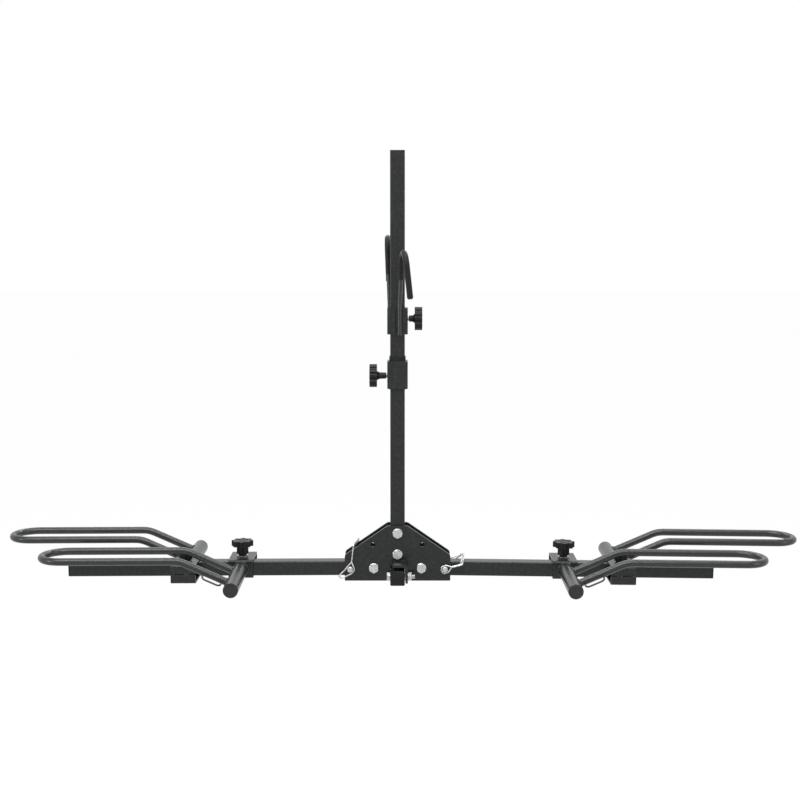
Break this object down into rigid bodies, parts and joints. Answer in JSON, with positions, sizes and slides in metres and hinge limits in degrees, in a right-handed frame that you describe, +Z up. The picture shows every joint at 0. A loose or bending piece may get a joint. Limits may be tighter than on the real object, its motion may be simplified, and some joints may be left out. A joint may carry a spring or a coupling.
{
  "type": "platform hitch bike rack",
  "caption": "Platform bike rack: a square hitch bar carries a tilting plate frame, folding arms with sliding wheel hoops, and a mast with padded frame hooks.",
  "frame": {"origin": "the underside of the hitch bar, in line with the hitch pin's hole, in the middle of the bar's width", "axes": "+Y along the hitch bar towards the vehicle, +Z up along the mast, +X to the right as seen from behind the vehicle"},
  "size_m": [1.7952, 0.6223, 0.9428],
  "materials": {
    "black_powder_coat": "satin black powder coat on steel",
    "zinc_plating": "bright zinc plating on steel",
    "black_plastic": "matte moulded plastic",
    "black_foam": "closed-cell foam tube"
  },
  "bodies": {
    "hitch_bar": {"hitch_bar": "black_powder_coat", "hitch_bar_front_cap": "black_plastic", "tilt_pivot_bolt": "zinc_plating", "tilt_pivot_nut": "zinc_plating"},
    "tilt_lock_pin": {"tilt_lock_pin": "zinc_plating"},
    "frame": {"front_plate": "black_powder_coat", "rear_plate": "black_powder_coat", "front_hitch_bracket": "black_powder_coat", "rear_hitch_bracket": "black_powder_coat", "lower_mast": "black_powder_coat", "mast_bolt_upper": "zinc_plating", "mast_nut_upper": "zinc_plating", "mast_bolt_lower": "zinc_plating", "mast_nut_lower": "zinc_plating", "left_pivot_bolt": "zinc_plating", "left_pivot_nut": "zinc_plating", "right_pivot_bolt": "zinc_plating", "right_pivot_nut": "zinc_plating", "mast_sleeve": "black_powder_coat", "mast_sleeve_bushing": "black_plastic"},
    "mast_sleeve_knob": {"mast_sleeve_knob": "black_plastic"},
    "upper_mast": {"upper_mast": "black_powder_coat", "upper_mast_cap": "black_plastic"},
    "hook_collar": {"hook_collar": "black_powder_coat", "front_hook": "black_powder_coat", "front_hook_grip": "black_foam", "rear_hook": "black_powder_coat", "rear_hook_grip": "black_foam"},
    "hook_collar_knob": {"hook_collar_knob": "black_plastic"},
    "left_arm": {"left_arm": "black_powder_coat", "left_arm_cap": "black_plastic"},
    "left_lock_pin": {"left_lock_pin": "zinc_plating", "left_pin_bail": "zinc_plating"},
    "left_inner_holder": {"left_inner_clamp": "black_powder_coat", "left_inner_cross_tube": "black_powder_coat", "left_inner_cross_tube_cap": "black_plastic", "left_inner_wheel_hoop": "black_powder_coat"},
    "left_inner_clamp_knob": {"left_inner_clamp_knob": "black_plastic"},
    "left_outer_holder": {"left_outer_clamp": "black_powder_coat", "left_outer_cross_tube": "black_powder_coat", "left_outer_cross_tube_cap": "black_plastic", "left_outer_wheel_hoop": "black_powder_coat"},
    "left_outer_clamp_knob": {"left_outer_clamp_knob": "black_plastic"},
    "right_arm": {"right_arm": "black_powder_coat", "right_arm_cap": "black_plastic"},
    "right_lock_pin": {"right_lock_pin": "zinc_plating", "right_pin_bail": "zinc_plating"},
    "right_inner_holder": {"right_inner_clamp": "black_powder_coat", "right_inner_cross_tube": "black_powder_coat", "right_inner_cross_tube_cap": "black_plastic", "right_inner_wheel_hoop": "black_powder_coat"},
    "right_inner_clamp_knob": {"right_inner_clamp_knob": "black_plastic"},
    "right_outer_holder": {"right_outer_clamp": "black_powder_coat", "right_outer_cross_tube": "black_powder_coat", "right_outer_cross_tube_cap": "black_plastic", "right_outer_wheel_hoop": "black_powder_coat"},
    "right_outer_clamp_knob": {"right_outer_clamp_knob": "black_plastic"}
  },
  "joints": [
    {"name": "tilt", "type": "hinge", "parent": "hitch_bar", "child": "frame", "pos_m": [0, -0.405, 0.01588], "axis": [1, 0, 0], "range_deg": [0, 30]},
    {"name": "tilt_lock_pin_slide", "type": "slide", "parent": "hitch_bar", "child": "tilt_lock_pin", "axis": [1, 0, 0], "range_m": [0, 0.07]},
    {"name": "mast_sleeve_knob_turn", "type": "hinge", "parent": "frame", "child": "mast_sleeve_knob", "pos_m": [-0.02252, -0.36, 0.4517], "axis": [-1, 0, 0], "range_deg": [0, 720]},
    {"name": "upper_mast_lift", "type": "slide", "parent": "frame", "child": "upper_mast", "axis": [0, 0, 1], "range_m": [0, 0.08]},
    {"name": "hook_collar_slide", "type": "slide", "parent": "upper_mast", "child": "hook_collar", "axis": [0, 0, 1], "range_m": [-0.04, 0.32]},
    {"name": "hook_collar_knob_turn", "type": "hinge", "parent": "hook_collar", "child": "hook_collar_knob", "pos_m": [0.02252, -0.36, 0.5757], "axis": [1, 0, 0], "range_deg": [0, 720]},
    {"name": "left_arm_fold", "type": "hinge", "parent": "frame", "child": "left_arm", "pos_m": [-0.052, -0.36, 0.029], "axis": [0, 1, 0], "range_deg": [0, 80]},
    {"name": "left_lock_pin_slide", "type": "slide", "parent": "frame", "child": "left_lock_pin", "axis": [0, -1, 0], "range_m": [0, 0.06], "deforming": ["left_pin_bail"]},
    {"name": "left_inner_holder_slide", "type": "slide", "parent": "left_arm", "child": "left_inner_holder", "axis": [-1, 0, -0.0047], "range_m": [-0.15, 0.01]},
    {"name": "left_inner_clamp_knob_turn", "type": "hinge", "parent": "left_inner_holder", "child": "left_inner_clamp_knob", "pos_m": [-0.34498, -0.338, 0.04622], "axis": [-0.0047, 0, 1], "range_deg": [0, 720]},
    {"name": "left_outer_holder_slide", "type": "slide", "parent": "left_arm", "child": "left_outer_holder", "axis": [-1, 0, -0.0047], "range_m": [-0.012, 0.2]},
    {"name": "left_outer_clamp_knob_turn", "type": "hinge", "parent": "left_outer_holder", "child": "left_outer_clamp_knob", "pos_m": [-0.46458, -0.382, 0.04566], "axis": [-0.0047, 0, 1], "range_deg": [0, 720]},
    {"name": "right_arm_fold", "type": "hinge", "parent": "frame", "child": "right_arm", "pos_m": [0.052, -0.36, 0.029], "axis": [0, -1, 0], "range_deg": [0, 80]},
    {"name": "right_lock_pin_slide", "type": "slide", "parent": "frame", "child": "right_lock_pin", "axis": [0, -1, 0], "range_m": [0, 0.06], "deforming": ["right_pin_bail"]},
    {"name": "right_inner_holder_slide", "type": "slide", "parent": "right_arm", "child": "right_inner_holder", "axis": [0.9999, 0, -0.0126], "range_m": [-0.15, 0.01]},
    {"name": "right_inner_clamp_knob_turn", "type": "hinge", "parent": "right_inner_holder", "child": "right_inner_clamp_knob", "pos_m": [0.36921, -0.338, 0.04362], "axis": [0.0126, 0, 0.9999], "range_deg": [0, 720]},
    {"name": "right_outer_holder_slide", "type": "slide", "parent": "right_arm", "child": "right_outer_holder", "axis": [0.9999, 0, -0.0126], "range_m": [-0.012, 0.17]},
    {"name": "right_outer_clamp_knob_turn", "type": "hinge", "parent": "right_outer_holder", "child": "right_outer_clamp_knob", "pos_m": [0.4902, -0.382, 0.0421], "axis": [0.0126, 0, 0.9999], "range_deg": [0, 720]}
  ]
}
